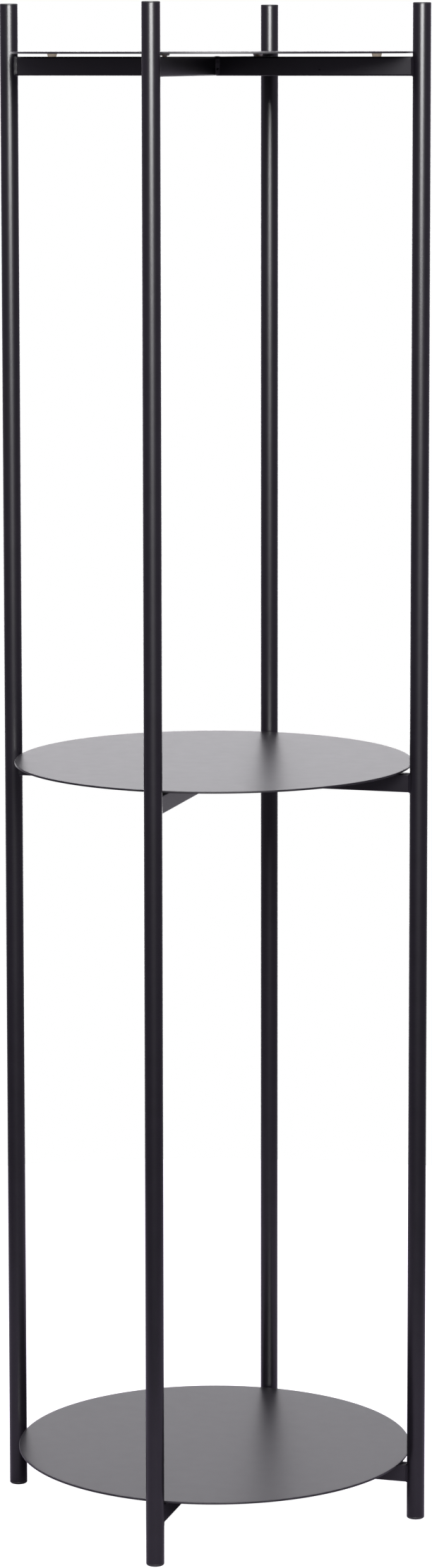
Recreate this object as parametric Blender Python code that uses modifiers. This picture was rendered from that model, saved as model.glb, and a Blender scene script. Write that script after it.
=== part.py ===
"""Standing coat rack: four tubular posts, three welded bar crosses and three loose round trays.

Metres, +Z up. The origin is on the floor in the middle of the four posts.
The posts stand on the X and Y axes: front is -Y, right is +X, back is +Y and left is -X.
"""

import math

import bmesh
import bpy
from mathutils import Matrix, Vector

# Frame
POST_CIRCLE_RADIUS = 0.225
TOTAL_HEIGHT = 1.6184
TUBE_RADIUS = 0.0095
TUBE_WALL = 0.0015
TUBE_SEGMENTS = 48

# Trays
TRAY_RADIUS = 0.2125
TRAY_THICKNESS = 0.002
TRAY_EDGE_RADIUS = 0.0006
TRAY_EDGE_SEGMENTS = 2
TRAY_SEGMENTS = 96
BOTTOM_TRAY_TOP = 0.065
TRAY_SPACING = 0.7515

# Crosses: rectangular tube on edge
BAR_WIDTH = 0.010
BAR_HEIGHT = 0.020
BAR_WALL = 0.0015
BAR_CORNER_RADIUS = 0.0018
BAR_CORNER_SEGMENTS = 3

# Push-in bumpers, one on each arm of a cross
BUMPER_CIRCLE_RADIUS = 0.177
BUMPER_HEAD_HEIGHT = 0.0027
BUMPER_HEAD_TOP_RADIUS = 0.0053
BUMPER_HEAD_FOOT_RADIUS = 0.0047
BUMPER_EDGE_RADIUS = 0.0004
BUMPER_NECK_RADIUS = 0.0026
BUMPER_BARB_RADIUS = 0.0032
BUMPER_TIP_RADIUS = 0.0016
BUMPER_BARB_LENGTH = 0.0032
BUMPER_SEGMENTS = 16
BUMPER_ARC_STEPS = 2

# Top caps and foot glides, pushed into the tube ends
CAP_RIM_HEIGHT = 0.0013
CAP_EDGE_RADIUS = 0.0010
CAP_STEM_LENGTH = 0.014
GLIDE_RIM_HEIGHT = 0.0024
GLIDE_EDGE_RADIUS = 0.0016
GLIDE_STEM_LENGTH = 0.018
STEM_TIP_TAPER = 0.001
PLUG_SEGMENTS = 24
PLUG_ARC_STEPS = 3

# Distance kept between two pieces that touch on the real object
SEAT_GAP = 0.0003

# How far the cutter of a bumper's hole stands above the bar
HOLE_CUTTER_RISE = 0.005

# Modelling settings
SHARP_EDGE_ANGLE = math.radians(35)
BEVELLED_EDGE_ANGLE = math.radians(40)
SCREW_MERGE_DISTANCE = 0.00001

# Bearing of each post from the middle, about +Z, in degrees
SIDES = {"front": -90, "right": 0, "back": 90, "left": 180}

# Height of each tray's top face
LEVELS = {
    "bottom": BOTTOM_TRAY_TOP,
    "middle": BOTTOM_TRAY_TOP + TRAY_SPACING,
    "top": BOTTOM_TRAY_TOP + 2 * TRAY_SPACING,
}

TUBE_BOTTOM = GLIDE_RIM_HEIGHT + SEAT_GAP
TUBE_TOP = TOTAL_HEIGHT - CAP_RIM_HEIGHT - SEAT_GAP
STEM_RADIUS = TUBE_RADIUS - TUBE_WALL - SEAT_GAP
BUMPER_HOLE_RADIUS = BUMPER_NECK_RADIUS + SEAT_GAP
BAR_TOP_BELOW_TRAY_TOP = TRAY_THICKNESS + BUMPER_HEAD_HEIGHT + 2 * SEAT_GAP


def clear_scene():
    for obj in list(bpy.data.objects):
        bpy.data.objects.remove(obj)


def make_collection(name):
    collection = bpy.data.collections.new(name)
    bpy.context.scene.collection.children.link(collection)
    return collection


def make_material(name, colour, roughness, metallic=0.0):
    material = bpy.data.materials.new(name)
    material.use_nodes = True
    shader = material.node_tree.nodes["Principled BSDF"]
    shader.inputs["Base Color"].default_value = (*colour, 1.0)
    shader.inputs["Roughness"].default_value = roughness
    shader.inputs["Metallic"].default_value = metallic
    material.diffuse_color = (*colour, 1.0)
    return material


def make_object(name, mesh, collection, material, location=(0, 0, 0), bearing=0, parent=None):
    """An object at location, turned by bearing degrees about +Z."""
    obj = bpy.data.objects.new(name, mesh)
    obj.location = location
    obj.rotation_euler.z = math.radians(bearing)
    obj.parent = parent
    if material is not None:
        mesh.materials.append(material)
    collection.objects.link(obj)
    return obj


def make_cutter(name, mesh, location=(0, 0, 0), bearing=0):
    obj = make_object(name, mesh, cutters, None, location, bearing)
    obj.hide_render = True
    obj.display_type = "WIRE"
    return obj


def make_group(name):
    """An empty at the origin that the pieces of one rigid group are parented to."""
    empty = bpy.data.objects.new(name, None)
    rack.objects.link(empty)
    return empty


def polar(bearing, radius, height):
    """The point at this bearing and radius from the rack's axis."""
    angle = math.radians(bearing)
    return Vector((radius * math.cos(angle), radius * math.sin(angle), height))


def finish_mesh(name, shape):
    """A mesh from the bmesh, smooth except at its sharp edges."""
    mesh = bpy.data.meshes.new(name)
    shape.to_mesh(mesh)
    shape.free()
    mesh.shade_smooth()
    mesh.set_sharp_from_angle(angle=SHARP_EDGE_ANGLE)
    return mesh


def cylinder_mesh(name, radius, low, high, segments, capped=True):
    """A cylinder about Z from low to high."""
    shape = bmesh.new()
    bmesh.ops.create_cone(
        shape,
        cap_ends=capped,
        segments=segments,
        radius1=radius,
        radius2=radius,
        depth=high - low,
        matrix=Matrix.Translation((0, 0, (low + high) / 2)),
    )
    return finish_mesh(name, shape)


def open_box_mesh(name, near, far, width, height):
    """A box along X from near to far, with no end faces."""
    size = Matrix.Diagonal((far - near, width, height, 1))
    middle = Matrix.Translation(((near + far) / 2, 0, 0))
    shape = bmesh.new()
    bmesh.ops.create_cube(shape, size=1, matrix=middle @ size)
    shape.normal_update()
    ends = [face for face in shape.faces if abs(face.normal.x) > abs(face.normal.y) + abs(face.normal.z)]
    bmesh.ops.delete(shape, geom=ends, context="FACES_ONLY")
    return finish_mesh(name, shape)


def profile_mesh(name, points):
    """An open outline of (radius, height) points in the XZ plane, for a Screw modifier to turn."""
    mesh = bpy.data.meshes.new(name)
    edges = [(i, i + 1) for i in range(len(points) - 1)]
    mesh.from_pydata([(x, 0, z) for x, z in points], edges, [])
    return mesh


def add_screw(obj, segments):
    turn = obj.modifiers.new("turn", "SCREW")
    turn.axis = "Z"
    turn.steps = segments
    turn.render_steps = segments
    turn.use_smooth_shade = True
    turn.use_merge_vertices = True
    turn.merge_threshold = SCREW_MERGE_DISTANCE


def add_solidify(obj, thickness):
    """Thickens an open surface inwards."""
    wall = obj.modifiers.new("wall", "SOLIDIFY")
    wall.thickness = thickness
    wall.offset = -1
    wall.use_even_offset = True


def add_bevel(obj, name, width, segments):
    bevel = obj.modifiers.new(name, "BEVEL")
    bevel.width = width
    bevel.segments = segments
    bevel.limit_method = "ANGLE"
    bevel.angle_limit = BEVELLED_EDGE_ANGLE


def add_cut(obj, cutter):
    cut = obj.modifiers.new(cutter.name, "BOOLEAN")
    cut.operation = "DIFFERENCE"
    cut.solver = "EXACT"
    cut.object = cutter


def rounded_edge(centre, radius, steps):
    """Points of a quarter circle in the XZ plane, from its top round to its outer side."""
    points = []
    for step in range(steps + 1):
        angle = math.pi / 2 * (1 - step / steps)
        x = centre[0] + radius * math.cos(angle)
        z = centre[1] + radius * math.sin(angle)
        points.append((x, z))
    return points


def plug_profile(rim_height, edge_radius, stem_length):
    """Outline of a tube plug, rim up: a flat top, a rounded rim as wide as the tube, and a stem below."""
    arc_centre = (TUBE_RADIUS - edge_radius, rim_height - edge_radius)
    return [
        (0, rim_height),
        *rounded_edge(arc_centre, edge_radius, PLUG_ARC_STEPS),
        (TUBE_RADIUS, 0),
        (STEM_RADIUS, 0),
        (STEM_RADIUS, -stem_length + STEM_TIP_TAPER),
        (STEM_RADIUS - STEM_TIP_TAPER, -stem_length),
        (0, -stem_length),
    ]


def bumper_profile():
    """Outline of a push-in bumper, with height 0 where its head rests on the bar."""
    barb_top = -BAR_WALL - 2 * SEAT_GAP
    head_arc_centre = (
        BUMPER_HEAD_TOP_RADIUS - BUMPER_EDGE_RADIUS,
        BUMPER_HEAD_HEIGHT - BUMPER_EDGE_RADIUS,
    )
    return [
        (0, BUMPER_HEAD_HEIGHT),
        *rounded_edge(head_arc_centre, BUMPER_EDGE_RADIUS, BUMPER_ARC_STEPS),
        (BUMPER_HEAD_FOOT_RADIUS, 0),
        (BUMPER_NECK_RADIUS, 0),
        (BUMPER_NECK_RADIUS, barb_top),
        (BUMPER_BARB_RADIUS, barb_top),
        (BUMPER_TIP_RADIUS, barb_top - BUMPER_BARB_LENGTH),
        (0, barb_top - BUMPER_BARB_LENGTH),
    ]


def add_post(side, bearing):
    """A tube open at both ends."""
    name = f"post_{side}"
    mesh = cylinder_mesh(name, TUBE_RADIUS, TUBE_BOTTOM, TUBE_TOP, TUBE_SEGMENTS, capped=False)
    foot = polar(bearing, POST_CIRCLE_RADIUS, 0)
    post = make_object(name, mesh, rack, frame_coat, foot, bearing, frame)
    add_solidify(post, TUBE_WALL)


def make_post_space(side, bearing):
    """The cutter that copes the bars to a post, wider than it by the seat gap."""
    name = f"post_space_{side}"
    mesh = cylinder_mesh(name, TUBE_RADIUS + SEAT_GAP, 0, TOTAL_HEIGHT, TUBE_SEGMENTS)
    return make_cutter(name, mesh, polar(bearing, POST_CIRCLE_RADIUS, 0), bearing)


def add_top_cap(side, bearing):
    profile = plug_profile(CAP_RIM_HEIGHT, CAP_EDGE_RADIUS, CAP_STEM_LENGTH)
    mesh = profile_mesh(f"top_cap_{side}", profile)
    seat = polar(bearing, POST_CIRCLE_RADIUS, TOTAL_HEIGHT - CAP_RIM_HEIGHT)
    cap = make_object(f"top_cap_{side}", mesh, rack, black_plastic, seat, bearing, frame)
    add_screw(cap, PLUG_SEGMENTS)


def add_foot_glide(side, bearing):
    """The same kind of plug as a cap, turned over so that its rim is the foot."""
    profile = plug_profile(GLIDE_RIM_HEIGHT, GLIDE_EDGE_RADIUS, GLIDE_STEM_LENGTH)
    mesh = profile_mesh(f"foot_glide_{side}", profile)
    seat = polar(bearing, POST_CIRCLE_RADIUS, GLIDE_RIM_HEIGHT)
    glide = make_object(f"foot_glide_{side}", mesh, rack, black_plastic, seat, bearing, frame)
    glide.rotation_euler.x = math.pi
    add_screw(glide, PLUG_SEGMENTS)


def add_bar(name, bearing, near, far, height, cutting):
    """A rectangular tube on edge from near to far along this bearing, less what the cutters take."""
    mesh = open_box_mesh(name, near, far, BAR_WIDTH, BAR_HEIGHT)
    bar = make_object(name, mesh, rack, frame_coat, (0, 0, height), bearing, frame)
    add_bevel(bar, "tube_corners", BAR_CORNER_RADIUS, BAR_CORNER_SEGMENTS)
    add_solidify(bar, BAR_WALL)
    for cutter in cutting:
        add_cut(bar, cutter)


def add_cross(level, bar_top, post_spaces):
    """A through bar from front to back, and two half bars that meet its sides, each coped to its post."""
    holes = {}
    for side, bearing in SIDES.items():
        name = f"{level}_hole_{side}"
        mesh = cylinder_mesh(name, BUMPER_HOLE_RADIUS, -BAR_HEIGHT / 2, HOLE_CUTTER_RISE, BUMPER_SEGMENTS)
        place = polar(bearing, BUMPER_CIRCLE_RADIUS, bar_top)
        holes[side] = make_cutter(name, mesh, place)
    height = bar_top - BAR_HEIGHT / 2
    reach = POST_CIRCLE_RADIUS - TUBE_RADIUS / 2
    cutting = [post_spaces["front"], post_spaces["back"], holes["front"], holes["back"]]
    add_bar(f"{level}_cross_through_bar", SIDES["back"], -reach, reach, height, cutting)
    for side in ("left", "right"):
        cutting = [post_spaces[side], holes[side]]
        near = BAR_WIDTH / 2 + SEAT_GAP
        add_bar(f"{level}_cross_{side}_bar", SIDES[side], near, reach, height, cutting)


def add_bumpers(level, bar_top):
    for side, bearing in SIDES.items():
        mesh = profile_mesh(f"{level}_bumper_{side}", bumper_profile())
        seat = polar(bearing, BUMPER_CIRCLE_RADIUS, bar_top + SEAT_GAP)
        bumper = make_object(f"{level}_bumper_{side}", mesh, rack, amber_rubber, seat, bearing, frame)
        add_screw(bumper, BUMPER_SEGMENTS)


def add_tray(level, tray_top):
    """A flat disc with its origin on the axis that it lifts along, parented to an empty there."""
    mesh = cylinder_mesh(f"{level}_tray", TRAY_RADIUS, -TRAY_THICKNESS, 0, TRAY_SEGMENTS)
    lift = make_group(f"{level}_tray_lift")
    tray = make_object(f"{level}_tray", mesh, rack, tray_coat, (0, 0, tray_top), parent=lift)
    add_bevel(tray, "rim", TRAY_EDGE_RADIUS, TRAY_EDGE_SEGMENTS)


clear_scene()
rack = make_collection("coat_rack")
cutters = make_collection("cutters")
frame = make_group("frame")
frame_coat = make_material("frame_powder_coat", (0.018, 0.017, 0.020), 0.42)
tray_coat = make_material("tray_powder_coat", (0.020, 0.019, 0.021), 0.35)
black_plastic = make_material("black_plastic", (0.016, 0.016, 0.017), 0.5)
amber_rubber = make_material("amber_rubber", (0.30, 0.24, 0.13), 0.45)

post_clearances = {}
for post_side, post_bearing in SIDES.items():
    post_clearances[post_side] = make_post_space(post_side, post_bearing)
    add_post(post_side, post_bearing)
    add_top_cap(post_side, post_bearing)
    add_foot_glide(post_side, post_bearing)

for level_name, top_face in LEVELS.items():
    cross_top = top_face - BAR_TOP_BELOW_TRAY_TOP
    add_cross(level_name, cross_top, post_clearances)
    add_bumpers(level_name, cross_top)
    add_tray(level_name, top_face)
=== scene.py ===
"""The looks of the standing coat rack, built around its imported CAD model.

Metres, +Z up, in the CAD model's frame: front is -Y, right is +X. Every piece is built in place, so its
object sits at the origin, and each one replaces the plain CAD node that it stands for.
"""

import math

import bmesh
import bpy
from mathutils import Matrix, Vector, noise


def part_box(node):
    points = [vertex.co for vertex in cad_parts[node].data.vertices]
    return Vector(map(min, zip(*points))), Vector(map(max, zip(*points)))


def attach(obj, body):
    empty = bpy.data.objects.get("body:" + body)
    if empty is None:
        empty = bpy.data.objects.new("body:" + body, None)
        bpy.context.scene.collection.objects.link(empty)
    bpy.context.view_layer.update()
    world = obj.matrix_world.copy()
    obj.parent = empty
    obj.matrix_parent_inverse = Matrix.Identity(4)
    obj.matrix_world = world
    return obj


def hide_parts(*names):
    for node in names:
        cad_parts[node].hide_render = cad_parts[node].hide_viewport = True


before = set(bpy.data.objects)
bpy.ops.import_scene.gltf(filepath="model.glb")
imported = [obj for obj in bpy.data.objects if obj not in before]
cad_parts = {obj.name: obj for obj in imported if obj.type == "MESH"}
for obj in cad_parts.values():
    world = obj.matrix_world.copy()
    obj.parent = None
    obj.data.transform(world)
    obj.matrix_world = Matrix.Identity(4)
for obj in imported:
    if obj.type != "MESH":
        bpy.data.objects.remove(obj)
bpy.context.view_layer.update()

MM = 0.001
LEVELS = ("bottom", "middle", "top")
BEARINGS = {"front": -90, "right": 0, "back": 90, "left": 180}

# Tubes
TUBE_WALL = 1.5 * MM
TUBE_LIP_RADIUS = 0.15 * MM
BAR_WALL = 1.5 * MM
BAR_CORNER_RADIUS = 1.8 * MM
COPE_GAP = 0.05 * MM

# Bumpers: the neck fills its hole. The side ones get a painted glow, an emission standing in for light
# passing through them
PAINTED_GLOW_STRENGTH = 0.19
PAINTED_GLOW_BEYOND_X = 0.1
BUMPER_NECK = 2.6 * MM
BUMPER_HOLE = BUMPER_NECK + 0.05 * MM
FRONT_BUMPER_PROUD = 1.3 * MM

# Plugs in the tube ends: the rims sit on the tubes, and the stems are loose inside them
STEM_GAP = 0.3 * MM
CAP_EDGE_RADIUS = 1.0 * MM
GLIDE_EDGE_RADIUS = 1.6 * MM
CAP_RIM = 1.56 * MM
GLIDE_RIM = 2.66 * MM
SOFT_EDGE = 0.08 * MM

# Smoothness of the turned and swept pieces
TUBE_SEGMENTS = 96
TRAY_SEGMENTS = 288
BUMPER_SEGMENTS = 48
ARC_STEPS = 6
WELD_BEAD_STEPS = 7
WELD_SIDE_STEPS = 14

# Trays: the top and the underside are flat up to this far from the rim
TRAY_EDGE_RADIUS = 0.35 * MM
TRAY_FLAT_MARGIN = 2.4 * MM

# Welds: each toe stays this near a post's middle line, and this far past the bar's top and foot
WELD_HALF_REACH = 9.2 * MM
WELD_OVER_TOP = 0.25 * MM
WELD_UNDER_FOOT = 1.1 * MM

# Camera: where it stands, how it is turned, and its lens
CAMERA_PLACE = Vector((1.3424, -4.6800, 1.5753))
CAMERA_AZIMUTH = 15.974
CAMERA_PITCH_DOWN = 7.2166
CAMERA_ROLL = -0.068
CAMERA_LENS = 105.776
CAMERA_SHIFT_Y = -0.0996

# Soft light: how far it stands from the rack's middle, and the height that it is aimed at
LIGHT_DISTANCE = 4.5
LIGHT_AIM = 1.6

# Floor: a round pale sheet, set back behind the rack's middle
FLOOR_RADIUS = 1.1
FLOOR_SETBACK = 0.45
FLOOR_COLOUR = (0.33, 0.295, 0.37)

# The dim studio in front of the rack is a little purple
ROOM_TINT = (1.0, 0.90, 1.14)


# ---------------------------------------------------------------- shapes


def add_piece(name, mesh, body, slot, replaced=()):
    """Puts a finished mesh in the scene as a piece that rides on a CAD body."""
    piece = bpy.data.objects.new(name, mesh)
    bpy.context.scene.collection.objects.link(piece)
    mesh.materials.append(MATERIALS[slot])
    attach(piece, body)
    if replaced:
        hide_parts(*replaced)
    return piece


def mesh_of(name, vertices, faces):
    """A closed mesh with its faces turned outwards, smooth but for its sharp edges."""
    shape = bmesh.new()
    points = [shape.verts.new(v) for v in vertices]
    for face in faces:
        shape.faces.new([points[i] for i in face])
    bmesh.ops.recalc_face_normals(shape, faces=shape.faces)
    mesh = bpy.data.meshes.new(name)
    shape.to_mesh(mesh)
    shape.free()
    mesh.shade_smooth()
    mesh.set_sharp_from_angle(angle=math.radians(35))
    return mesh


def arc(centre, radius, start, end, steps=ARC_STEPS):
    """Points of an arc in a plane, from the angle start to the angle end, in degrees."""
    points = []
    for step in range(steps + 1):
        angle = math.radians(start + (end - start) * step / steps)
        points.append((centre[0] + radius * math.cos(angle), centre[1] + radius * math.sin(angle)))
    return points


def turned(name, outline, centre, segments, ring=False):
    """An outline of (radius, height) points turned about the vertical line through centre.

    The outline starts and ends on the axis, or is a closed ring away from it.
    """
    vertices = []
    rings = []
    for radius, height in outline:
        first = len(vertices)
        count = segments if radius > 1e-7 else 1
        for step in range(count):
            angle = 2 * math.pi * step / segments
            offset = Vector((radius * math.cos(angle), radius * math.sin(angle), height))
            vertices.append(Vector((centre[0], centre[1], 0)) + offset)
        rings.append((first, count))
    pairs = list(zip(rings, rings[1:]))
    if ring:
        pairs.append((rings[-1], rings[0]))
    faces = []
    for (upper, upper_count), (lower, lower_count) in pairs:
        for step in range(segments):
            after = (step + 1) % segments
            corners = [upper + step % upper_count, lower + step % lower_count]
            corners += [lower + after % lower_count, upper + after % upper_count]
            faces.append(list(dict.fromkeys(corners)))
    return mesh_of(name, vertices, faces)


def drilled(mesh, places, radius, low, high):
    """The mesh with an upright round hole at each place, from the height low to the height high."""
    scene = bpy.context.scene.collection
    solid = bpy.data.objects.new("solid", mesh)
    scene.objects.link(solid)
    drills = []
    for place in places:
        outline = [(0, high), (radius, high), (radius, low), (0, low)]
        drill = bpy.data.objects.new("drill", turned("drill", outline, place, BUMPER_SEGMENTS))
        scene.objects.link(drill)
        hole = solid.modifiers.new("hole", "BOOLEAN")
        hole.operation = "DIFFERENCE"
        hole.solver = "EXACT"
        hole.object = drill
        drills.append(drill)
    graph = bpy.context.evaluated_depsgraph_get()
    result = bpy.data.meshes.new_from_object(solid.evaluated_get(graph))
    result.name = mesh.name
    for helper in (solid, *drills):
        bpy.data.objects.remove(helper)
    return result


def rounded_rectangle(width, height, radius, side_steps=1):
    """Points round a rectangle with rounded corners, each with its outward normal, anticlockwise.

    side_steps divides each straight side.
    """
    corners = []
    half_width, half_height = width / 2 - radius, height / 2 - radius
    for quarter, (sign_y, sign_z) in enumerate(((1, 1), (-1, 1), (-1, -1), (1, -1))):
        for step in range(ARC_STEPS + 1):
            angle = math.pi / 2 * (quarter + step / ARC_STEPS)
            normal = Vector((math.cos(angle), math.sin(angle)))
            corners.append((Vector((sign_y * half_width, sign_z * half_height)) + radius * normal, normal))
    points = []
    for index, (place, normal) in enumerate(corners):
        points.append((place, normal))
        after, after_normal = corners[(index + 1) % len(corners)]
        if (after_normal - normal).length < 1e-6:
            for step in range(1, side_steps):
                points.append((place.lerp(after, step / side_steps), normal))
    return points


# ---------------------------------------------------------------- materials


def new_material(name, colour, roughness):
    material = bpy.data.materials.new(name)
    material.use_nodes = True
    shader = material.node_tree.nodes["Principled BSDF"]
    shader.inputs["Base Color"].default_value = (*colour, 1)
    shader.inputs["Roughness"].default_value = roughness
    return material


def add_node(material, kind, **settings):
    node = material.node_tree.nodes.new(kind)
    for key, value in settings.items():
        setattr(node, key, value)
    return node


def add_noise(material, scale, detail=2.0, roughness=0.5):
    """Noise over the object's own coordinates, which are the CAD model's, so scale is per metre."""
    place = add_node(material, "ShaderNodeTexCoord")
    texture = add_node(material, "ShaderNodeTexNoise")
    texture.inputs["Scale"].default_value = scale
    texture.inputs["Detail"].default_value = detail
    texture.inputs["Roughness"].default_value = roughness
    material.node_tree.links.new(place.outputs["Object"], texture.inputs["Vector"])
    return texture.outputs["Fac"]


def add_range(material, value, low, high):
    """Spreads the middle of a noise value over low to high."""
    node = add_node(material, "ShaderNodeMapRange")
    node.inputs["From Min"].default_value = 0.3
    node.inputs["From Max"].default_value = 0.7
    node.inputs["To Min"].default_value = low
    node.inputs["To Max"].default_value = high
    material.node_tree.links.new(value, node.inputs["Value"])
    return node.outputs["Result"]


def vary_colour(material, value, low, high):
    """Colours the surface from low to high by the value."""
    ramp = add_node(material, "ShaderNodeValToRGB")
    ramp.color_ramp.elements[0].position = 0.35
    ramp.color_ramp.elements[0].color = (*low, 1)
    ramp.color_ramp.elements[1].position = 0.65
    ramp.color_ramp.elements[1].color = (*high, 1)
    material.node_tree.links.new(value, ramp.inputs["Fac"])
    shader = material.node_tree.nodes["Principled BSDF"]
    material.node_tree.links.new(ramp.outputs["Color"], shader.inputs["Base Color"])


def vary_roughness(material, value, low, high):
    shader = material.node_tree.nodes["Principled BSDF"]
    material.node_tree.links.new(add_range(material, value, low, high), shader.inputs["Roughness"])


def add_bumps(material, *layers):
    """Chains bump layers of (height value, depth in metres) onto the shader's normal."""
    links = material.node_tree.links
    normal = None
    for value, depth in layers:
        bump = add_node(material, "ShaderNodeBump")
        bump.inputs["Distance"].default_value = depth
        links.new(value, bump.inputs["Height"])
        if normal is not None:
            links.new(normal, bump.inputs["Normal"])
        normal = bump.outputs["Normal"]
    links.new(normal, material.node_tree.nodes["Principled BSDF"].inputs["Normal"])


def powder_coat(name, colour, roughness, grain_depth, wave_depth):
    """Smooth black powder coat: fine grain, longer orange peel, the metal's own waves, and a faint mottle."""
    material = new_material(name, colour, roughness)
    mottle = add_noise(material, 45, detail=4, roughness=0.6)
    vary_colour(material, mottle, [0.85 * c for c in colour], [1.15 * c for c in colour])
    vary_roughness(material, add_noise(material, 60, detail=3), roughness - 0.007, roughness + 0.007)
    add_bumps(
        material,
        (add_noise(material, 8, detail=1), wave_depth),
        (add_noise(material, 320, detail=1), 2.5 * grain_depth),
        (add_noise(material, 1500, detail=2), grain_depth),
    )
    return material


def moulded_plastic(name):
    """Black plastic of the caps and glides, with a fine moulded grain."""
    colour = (0.011, 0.011, 0.012)
    material = new_material(name, colour, 0.38)
    mottle = add_noise(material, 220, detail=3)
    vary_colour(material, mottle, [0.8 * c for c in colour], [1.3 * c for c in colour])
    vary_roughness(material, add_noise(material, 600, detail=2), 0.35, 0.42)
    add_bumps(material, (add_noise(material, 2600, detail=3, roughness=0.65), 0.02 * MM))
    return material


def amber_rubber(name):
    """Translucent amber rubber, cloudy inside, with a painted glow on the bumpers at the rack's sides: an
    emission standing in for light passing through them.
    """
    material = new_material(name, (0.80, 0.70, 0.54), 0.4)
    shader = material.node_tree.nodes["Principled BSDF"]
    shader.inputs["Subsurface Weight"].default_value = 1.0
    shader.inputs["Subsurface Scale"].default_value = 6 * MM
    shader.inputs["Subsurface Radius"].default_value = (1.0, 0.8, 0.55)
    # Painted glow: emission on the bumpers out at the rack's sides, standing in for the light that passes
    # through them
    shader.inputs["Emission Color"].default_value = (1.0, 0.84, 0.64, 1)
    place = add_node(material, "ShaderNodeTexCoord")
    split = add_node(material, "ShaderNodeSeparateXYZ")
    sideways = add_node(material, "ShaderNodeMath", operation="ABSOLUTE")
    lit = add_node(material, "ShaderNodeMath", operation="GREATER_THAN")
    lit.inputs[1].default_value = PAINTED_GLOW_BEYOND_X
    painted_glow = add_node(material, "ShaderNodeMath", operation="MULTIPLY")
    painted_glow.inputs[1].default_value = PAINTED_GLOW_STRENGTH
    links = material.node_tree.links
    links.new(place.outputs["Object"], split.inputs["Vector"])
    links.new(split.outputs["X"], sideways.inputs[0])
    links.new(sideways.outputs["Value"], lit.inputs[0])
    links.new(lit.outputs["Value"], painted_glow.inputs[0])
    links.new(painted_glow.outputs["Value"], shader.inputs["Emission Strength"])
    vary_colour(material, add_noise(material, 420, detail=3), (0.72, 0.61, 0.44), (0.88, 0.79, 0.64))
    vary_roughness(material, add_noise(material, 900, detail=2), 0.35, 0.5)
    add_bumps(material, (add_noise(material, 1800, detail=2), 0.02 * MM))
    return material


MATERIALS = {
    "frame_powder_coat": powder_coat(
        "frame_powder_coat",
        colour=(0.0028, 0.0022, 0.0038),
        roughness=0.32,
        grain_depth=0.0002 * MM,
        wave_depth=0.0,
    ),
    "tray_powder_coat": powder_coat(
        "tray_powder_coat",
        colour=(0.0040, 0.0034, 0.0050),
        roughness=0.41,
        grain_depth=0.00003 * MM,
        wave_depth=0.1 * MM,
    ),
    "black_plastic": moulded_plastic("black_plastic"),
    "amber_rubber": amber_rubber("amber_rubber"),
}


# ---------------------------------------------------------------- posts


def axis_of(node):
    """The middle of a node seen from above."""
    low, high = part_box(node)
    return (low + high).xy / 2


def add_post(side):
    """A hollow tube with softly rounded lips at both ends."""
    node = f"post_{side}"
    low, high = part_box(node)
    radius = (high.x - low.x) / 2
    inside = radius - TUBE_WALL
    lip = TUBE_LIP_RADIUS
    outline = arc((radius - lip, high.z - lip), lip, 90, 0)
    outline += arc((radius - lip, low.z + lip), lip, 0, -90)
    outline += arc((inside + lip, low.z + lip), lip, 270, 180)
    outline += arc((inside + lip, high.z - lip), lip, 180, 90)
    mesh = turned(f"{node}_tube", outline, axis_of(node), TUBE_SEGMENTS, ring=True)
    add_piece(f"{node}_tube", mesh, "frame", "frame_powder_coat", [node])


def plug_outline(rim_height, edge_radius, radius, stem_radius, stem_length):
    """A plug with its rim up and its rim's foot at height 0."""
    face = radius - edge_radius
    return [
        (0, rim_height),
        (face - SOFT_EDGE, rim_height),
        *arc((face, rim_height - edge_radius), edge_radius, 90, 0),
        *arc((radius - SOFT_EDGE, SOFT_EDGE), SOFT_EDGE, 0, -90, steps=2),
        (stem_radius, 0),
        (stem_radius, -0.9 * stem_length),
        (0.85 * stem_radius, -stem_length),
        (0, -stem_length),
    ]


def add_plug(node, rim_height, edge_radius, foot):
    """A cap on a post, or with foot set a glide under it, which is the same plug turned over."""
    low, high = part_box(node)
    radius = (high.x - low.x) / 2
    stem_radius = radius - TUBE_WALL - STEM_GAP
    outline = plug_outline(rim_height, edge_radius, radius, stem_radius, high.z - low.z - rim_height)
    if foot:
        outline = [(r, low.z + rim_height - z) for r, z in outline]
    else:
        outline = [(r, high.z - rim_height + z) for r, z in outline]
    mesh = turned(f"{node}_plug", outline, axis_of(node), TUBE_SEGMENTS)
    add_piece(f"{node}_plug", mesh, "frame", "black_plastic", [node])


# ---------------------------------------------------------------- bars


class Bar:
    """One rectangular tube of a cross, along its own bearing from near to far."""

    def __init__(self, level, name, bearing, ends):
        self.node = f"{level}_cross_{name}_bar"
        self.turn = Matrix.Rotation(math.radians(bearing), 3, "Z")
        low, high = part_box(f"{level}_cross_through_bar")
        self.width = high.x - low.x
        self.height = high.z - low.z
        self.middle = (low.z + high.z) / 2
        self.ends = ends

    def place(self, along, across, up):
        """A point given along, across and up from the bar's middle line, in the CAD frame."""
        return self.turn @ Vector((along, across, 0)) + Vector((0, 0, self.middle + up))


POST_LOW, POST_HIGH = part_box("post_right")


def post_face(across, gap=0.0):
    """How far out a post's inner face is, at this distance to the side of its bar's middle line."""
    radius = (POST_HIGH.x - POST_LOW.x) / 2 + gap
    return (POST_LOW.x + POST_HIGH.x) / 2 - math.sqrt(radius**2 - across**2)


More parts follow.
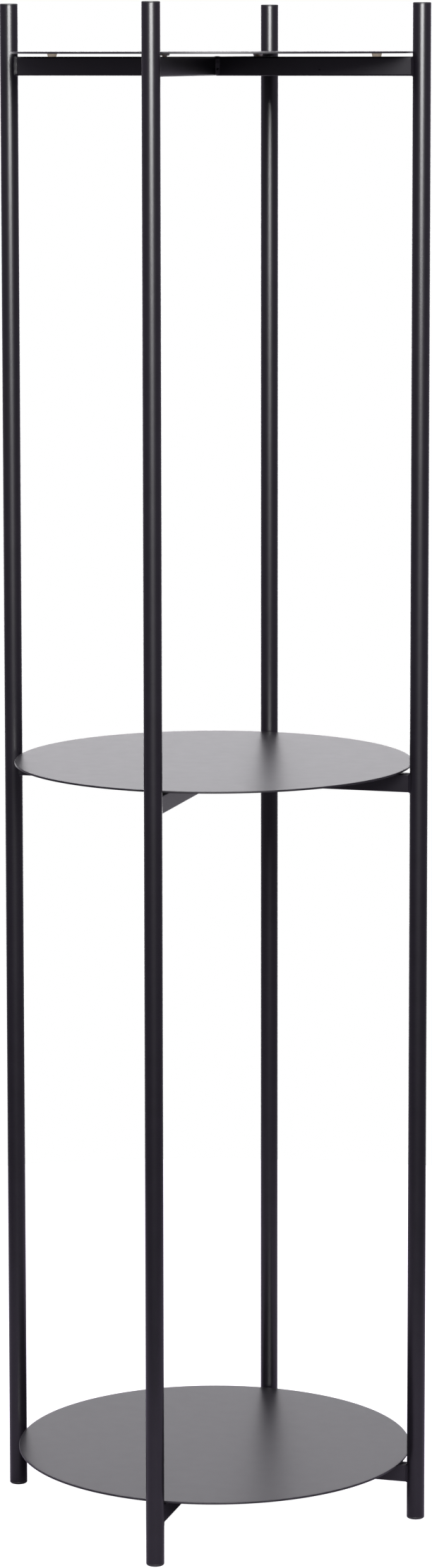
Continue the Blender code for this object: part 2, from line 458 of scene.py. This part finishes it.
def add_bar(bar, bumpers):
    """A hollow bar, coped where it meets a post, with a hole for each bumper."""
    outer = rounded_rectangle(bar.width, bar.height, BAR_CORNER_RADIUS)
    inner_size = (bar.width - 2 * BAR_WALL, bar.height - 2 * BAR_WALL)
    inner = rounded_rectangle(*inner_size, BAR_CORNER_RADIUS - BAR_WALL)
    vertices = []
    for loop, end in ((outer, 0), (outer, 1), (inner, 1), (inner, 0)):
        for (across, up), _ in loop:
            vertices.append(bar.place(bar.ends[end](across), across, up))
    count = len(outer)
    faces = []
    for row in range(4):
        for index in range(count):
            after = (index + 1) % count
            below, above = row * count, (row + 1) % 4 * count
            faces.append([below + index, below + after, above + after, above + index])
    mesh = mesh_of(f"{bar.node}_tube", vertices, faces)
    top = bar.middle + bar.height / 2
    mesh = drilled(mesh, map(axis_of, bumpers), BUMPER_HOLE, top - 3 * BAR_WALL, top + BAR_WALL)
    tube = add_piece(f"{bar.node}_tube", mesh, "frame", "frame_powder_coat", [bar.node])
    tube.modifiers.new("flat_faces_shade_flat", "WEIGHTED_NORMAL").keep_sharp = True


# ---------------------------------------------------------------- welds


def sweep(name, sections):
    """A closed bead through closed sections that each have the same number of points."""
    count = len(sections[0])
    vertices = [point for section in sections for point in section]
    faces = []
    for row in range(len(sections)):
        below, above = row * count, (row + 1) % len(sections) * count
        for index in range(count):
            after = (index + 1) % count
            faces.append([below + index, below + after, above + after, above + index])
    return mesh_of(name, vertices, faces)


def bead_section(start, end, root, outwards, bulge):
    """A weld's section from its toe on the bar to its toe on the other metal, and back through its root."""
    points = []
    for step in range(WELD_BEAD_STEPS + 1):
        share = step / WELD_BEAD_STEPS
        points.append(start.lerp(end, share) + outwards * bulge * 4 * share * (1 - share))
    return points + [root]


def ripple(distance, seed):
    """The slightly uneven, scalloped height of a ground and painted bead at a distance along it."""
    wobble = noise.noise(Vector((distance * 260, seed * 7.3, 0)))
    scallop = abs(math.sin(distance * math.pi / (1.9 * MM) + 2.0 * wobble))
    return 0.05 * MM * (scallop - 0.5) + 0.14 * MM * wobble


def by_face(normal, side, top, bottom):
    """A size that depends on which face of the bar its outline's normal points out of."""
    up = top if normal.y > 0 else bottom
    return side * normal.x**2 + up * normal.y**2


def add_post_weld(bar, level, side, seed):
    """The fillet weld round a bar's coped end, onto its post."""
    outline = rounded_rectangle(bar.width, bar.height, BAR_CORNER_RADIUS, WELD_SIDE_STEPS)
    sign = -1 if side == "front" else 1
    leg, crown = (4.8 * MM, 0.8 * MM) if side == "front" else (2.6 * MM, -0.6 * MM)
    sections = []
    distance = 0
    for index, (place, normal) in enumerate(outline):
        distance += (place - outline[index - 1][0]).length if index else 0
        height = ripple(distance, seed)
        bar_leg = by_face(normal, leg, 0.8 * MM, 1.5 * MM) + 2.5 * height
        post_leg = by_face(normal, 4.1 * MM, 0.3 * MM, 1.1 * MM) + 1.2 * height
        toe = place + normal * post_leg
        toe.x = max(-WELD_HALF_REACH, min(WELD_HALF_REACH, toe.x))
        toe.y = max(-bar.height / 2 - WELD_UNDER_FOOT, min(bar.height / 2 + WELD_OVER_TOP, toe.y))
        contact = post_face(place.x)
        start = Vector((contact - bar_leg, place.x - normal.x * 0.1 * MM, place.y - normal.y * 0.1 * MM))
        end = Vector((post_face(toe.x) + 0.15 * MM, toe.x, toe.y))
        root = Vector((contact + 0.8 * MM, place.x * 0.8, place.y * 0.9))
        outwards = Vector((-0.7, 0.7 * normal.x, 0.7 * normal.y))
        bulge = by_face(normal, crown, 0.0, -0.15 * MM) + height
        section = bead_section(start, end, root, outwards, bulge)
        sections.append([bar.place(sign * p.x, p.y, p.z) for p in section])
    mesh = sweep(f"{level}_{side}_post_weld", sections)
    add_piece(f"{level}_{side}_post_weld", mesh, "frame", "frame_powder_coat")


def add_centre_weld(bar, level, side, seed):
    """The weld round a half bar's square end, onto the side of the through bar."""
    outline = rounded_rectangle(bar.width, bar.height, BAR_CORNER_RADIUS, WELD_SIDE_STEPS)
    joint = bar.width / 2
    mound = 0.6 * MM if side == "right" else -0.2 * MM
    sections = []
    distance = 0
    for index, (place, normal) in enumerate(outline):
        distance += (place - outline[index - 1][0]).length if index else 0
        height = ripple(distance, seed)
        bar_leg = by_face(normal, 4.2 * MM, 2.8 * MM, 1.6 * MM) + 2.0 * height
        other_leg = by_face(normal, 3.2 * MM, 0.0, 0.0) + 1.5 * height * abs(normal.x)
        reach_over = by_face(normal, 0.1 * MM, 3.4 * MM, 2.0 * MM)
        start = Vector((joint + bar_leg, place.x - normal.x * 0.1 * MM, place.y - normal.y * 0.1 * MM))
        end = Vector((joint - reach_over, place.x + normal.x * other_leg, place.y - normal.y * 0.15 * MM))
        root = Vector((joint - 0.8 * MM, place.x * 0.8, place.y * 0.9))
        outwards = Vector((0.7 * abs(normal.x), 0.7 * normal.x, normal.y))
        bulge = by_face(normal, -0.4 * MM, mound, -0.6 * MM) + height
        section = bead_section(start, end, root, outwards, bulge)
        sections.append([bar.place(p.x, p.y, p.z) for p in section])
    mesh = sweep(f"{level}_{side}_centre_weld", sections)
    add_piece(f"{level}_{side}_centre_weld", mesh, "frame", "frame_powder_coat")


def add_spatter(name, along, height, out, size):
    """A droplet of weld metal on the top right bar, painted over: height is down from the bar's top."""
    low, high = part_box("top_cross_right_bar")
    outline = arc((0, high.z - height), size, 90, -90, steps=8)
    mesh = turned(name, outline, (along, low.y - out), 16)
    add_piece(name, mesh, "frame", "frame_powder_coat")


def add_cross(level, seed):
    """A through bar from the front post to the back one, and a half bar to each side post, all welded."""
    through = Bar(level, "through", 90, (lambda y: -post_face(y, COPE_GAP), lambda y: post_face(y, COPE_GAP)))
    half_width = through.width / 2
    add_bar(through, [f"{level}_bumper_front", f"{level}_bumper_back"])
    for index, side in enumerate(("front", "back")):
        add_post_weld(through, level, side, seed + index)
    for index, side in enumerate(("left", "right")):
        ends = (lambda y: half_width, lambda y: post_face(y, COPE_GAP))
        bar = Bar(level, side, BEARINGS[side], ends)
        add_bar(bar, [f"{level}_bumper_{side}"])
        add_post_weld(bar, level, side, seed + 2 + index)
        add_centre_weld(bar, level, side, seed + 4 + index)


# ---------------------------------------------------------------- bumpers and trays


def add_bumper(level, side):
    """A push-in rubber bumper, squeezed between the bar and the tray."""
    node = f"{level}_bumper_{side}"
    low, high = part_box(node)
    bar_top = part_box(f"{level}_cross_through_bar")[1].z
    tray_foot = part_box(f"{level}_tray")[0].z
    head = (high.x - low.x) / 2
    proud = FRONT_BUMPER_PROUD if (level, side) == ("top", "front") else 0.0
    foot = bar_top + 0.02 * MM + proud
    top = tray_foot - 0.03 * MM
    neck = BUMPER_NECK
    outline = [
        (0, top),
        (head - 0.7 * MM, top),
        *arc((head - 0.4 * MM, top - 0.4 * MM), 0.4 * MM, 90, -20),
        *arc((head - 0.9 * MM, foot + 0.35 * MM), 0.35 * MM, 0, -90, steps=3),
        (neck, foot),
        (neck, bar_top - BAR_WALL - 0.4 * MM),
        (neck + 0.6 * MM, bar_top - BAR_WALL - 0.7 * MM),
        (1.6 * MM, low.z),
        (0, low.z),
    ]
    mesh = turned(f"{node}_rubber", outline, axis_of(node), BUMPER_SEGMENTS)
    add_piece(f"{node}_rubber", mesh, "frame", "amber_rubber", [node])


def add_tray(level):
    """A flat sheet disc with softly rounded, powder-coated edges."""
    node = f"{level}_tray"
    low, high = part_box(node)
    radius = (high.x - low.x) / 2
    edge = TRAY_EDGE_RADIUS
    outline = [(0, high.z), (0.5 * radius, high.z), (radius - TRAY_FLAT_MARGIN, high.z)]
    outline += arc((radius - edge, high.z - edge), edge, 90, 0)
    outline += arc((radius - edge, low.z + edge), edge, 0, -90)
    outline += [(radius - TRAY_FLAT_MARGIN, low.z), (0.5 * radius, low.z), (0, low.z)]
    mesh = turned(f"{node}_disc", outline, axis_of(node), TRAY_SEGMENTS)
    add_piece(f"{node}_disc", mesh, f"{level}_tray_body", "tray_powder_coat", [node])


# ---------------------------------------------------------------- stage


def add_camera():
    """The photograph's viewpoint, from a fit to the posts' edges and the trays' rims."""
    camera = bpy.data.objects.new("camera", bpy.data.cameras.new("camera"))
    camera.data.lens = CAMERA_LENS
    camera.data.sensor_fit = "AUTO"
    camera.data.sensor_width = 36
    camera.data.shift_y = CAMERA_SHIFT_Y
    camera.location = CAMERA_PLACE
    tilt = Matrix.Rotation(math.radians(90 - CAMERA_PITCH_DOWN), 4, "X")
    roll = Matrix.Rotation(math.radians(CAMERA_ROLL), 4, "Z")
    heading = Matrix.Rotation(math.radians(CAMERA_AZIMUTH), 4, "Z")
    camera.rotation_euler = (heading @ tilt @ roll).to_euler()
    bpy.context.scene.collection.objects.link(camera)
    bpy.context.scene.camera = camera


def add_floor():
    """A pale floor that glows a little, like a lit white sweep, so that only contact shadows show."""
    heading = math.radians(CAMERA_AZIMUTH)
    centre = (-FLOOR_SETBACK * math.sin(heading), FLOOR_SETBACK * math.cos(heading))
    outline = [(0, 0), (FLOOR_RADIUS, 0), (FLOOR_RADIUS, -0.01), (0, -0.01)]
    mesh = turned("studio_floor", outline, centre, 96)
    floor = bpy.data.objects.new("studio_floor", mesh)
    floor.location.z = -0.2 * MM
    bpy.context.scene.collection.objects.link(floor)
    material = new_material("pale_floor", FLOOR_COLOUR, 0.9)
    shader = material.node_tree.nodes["Principled BSDF"]
    shader.inputs["Specular IOR Level"].default_value = 0.0
    shader.inputs["Emission Color"].default_value = (1, 1, 1, 1)
    seen = add_node(material, "ShaderNodeLightPath")
    material.node_tree.links.new(seen.outputs["Is Camera Ray"], shader.inputs["Emission Strength"])
    mesh.materials.append(material)


def add_softbox(name, azimuth, height, width, length, power):
    """A soft light at an azimuth from the front, turned towards the rack."""
    light = bpy.data.objects.new(name, bpy.data.lights.new(name, "AREA"))
    light.data.shape = "RECTANGLE"
    light.data.size = width
    light.data.size_y = length
    light.data.energy = power
    heading = math.radians(azimuth)
    place = Vector((LIGHT_DISTANCE * math.sin(heading), -LIGHT_DISTANCE * math.cos(heading), height))
    light.location = place
    light.rotation_euler = (Vector((0, 0, LIGHT_AIM)) - place).to_track_quat("-Z", "Y").to_euler()
    light.visible_camera = False
    bpy.context.scene.collection.objects.link(light)


def add_world():
    """White to the camera. To the rack: a white backdrop behind it, and a dim studio, darker low down."""
    world = bpy.data.worlds.new("studio")
    bpy.context.scene.world = world
    world.use_nodes = True
    tree = world.node_tree
    tree.nodes.clear()
    place = tree.nodes.new("ShaderNodeTexCoord")

    def ramp(direction, start, end):
        """Brightness along a direction: start and end are each (cosine, brightness)."""
        dot = tree.nodes.new("ShaderNodeVectorMath")
        dot.operation = "DOT_PRODUCT"
        dot.inputs[1].default_value = direction
        tree.links.new(place.outputs["Generated"], dot.inputs[0])
        curve = tree.nodes.new("ShaderNodeMapRange")
        curve.interpolation_type = "SMOOTHSTEP"
        curve.inputs["From Min"].default_value, curve.inputs["To Min"].default_value = start
        curve.inputs["From Max"].default_value, curve.inputs["To Max"].default_value = end
        tree.links.new(dot.outputs["Value"], curve.inputs["Value"])
        return curve.outputs["Result"]

    def combine(operation, first, second):
        node = tree.nodes.new("ShaderNodeMath")
        node.operation = operation
        tree.links.new(first, node.inputs[0])
        tree.links.new(second, node.inputs[1])
        return node.outputs["Value"]

    def background(name, colour):
        shader = tree.nodes.new("ShaderNodeBackground")
        shader.name = name
        shader.inputs["Color"].default_value = (*colour, 1)
        shader.inputs["Strength"].default_value = 1.0
        return shader

    up = (0, 0, 1)
    heading = math.radians(CAMERA_AZIMUTH)
    away = (-math.sin(heading), math.cos(heading), 0)
    backdrop = ramp(away, (0.91, 0.0), (0.99, 5.3))
    backdrop = combine("MULTIPLY", backdrop, ramp(up, (0.13, 1.0), (0.28, 0.0)))
    sweep = combine("MULTIPLY", ramp(away, (0.55, 0.0), (0.9, 0.35)), ramp(up, (-0.17, 1.0), (-0.04, 0.0)))
    overhead = ramp(up, (0.45, 0.0), (0.85, 0.7))
    white = background("white_surfaces", (1, 1, 1))
    lit = combine("ADD", combine("ADD", backdrop, sweep), overhead)
    tree.links.new(lit, white.inputs["Strength"])
    room = background("dim_room", ROOM_TINT)
    tree.links.new(ramp(up, (-0.25, 0.18), (0.0, 0.37)), room.inputs["Strength"])
    studio = tree.nodes.new("ShaderNodeAddShader")
    tree.links.new(white.outputs["Background"], studio.inputs[0])
    tree.links.new(room.outputs["Background"], studio.inputs[1])
    path = tree.nodes.new("ShaderNodeLightPath")
    mix = tree.nodes.new("ShaderNodeMixShader")
    out = tree.nodes.new("ShaderNodeOutputWorld")
    tree.links.new(path.outputs["Is Camera Ray"], mix.inputs["Fac"])
    tree.links.new(studio.outputs["Shader"], mix.inputs[1])
    tree.links.new(background("seen_by_camera", (1, 1, 1)).outputs["Background"], mix.inputs[2])
    tree.links.new(mix.outputs["Shader"], out.inputs["Surface"])


# ---------------------------------------------------------------- making

for post_side in BEARINGS:
    add_post(post_side)
    add_plug(f"top_cap_{post_side}", CAP_RIM, CAP_EDGE_RADIUS, foot=False)
    add_plug(f"foot_glide_{post_side}", GLIDE_RIM, GLIDE_EDGE_RADIUS, foot=True)

for number, level_name in enumerate(LEVELS):
    add_cross(level_name, 10 * number + 1)
    for bumper_side in BEARINGS:
        add_bumper(level_name, bumper_side)
    add_tray(level_name)

add_spatter("top_right_spatter_outer", along=116.7 * MM, height=14.0 * MM, out=0.1 * MM, size=0.9 * MM)
add_spatter("top_right_spatter_inner", along=7.6 * MM, height=13.3 * MM, out=1.3 * MM, size=1.3 * MM)

add_camera()
add_floor()
add_world()
add_softbox("key_softbox", azimuth=20.0, height=2.95, width=2.65, length=1.75, power=530)
bpy.context.scene.view_settings.view_transform = "Standard"
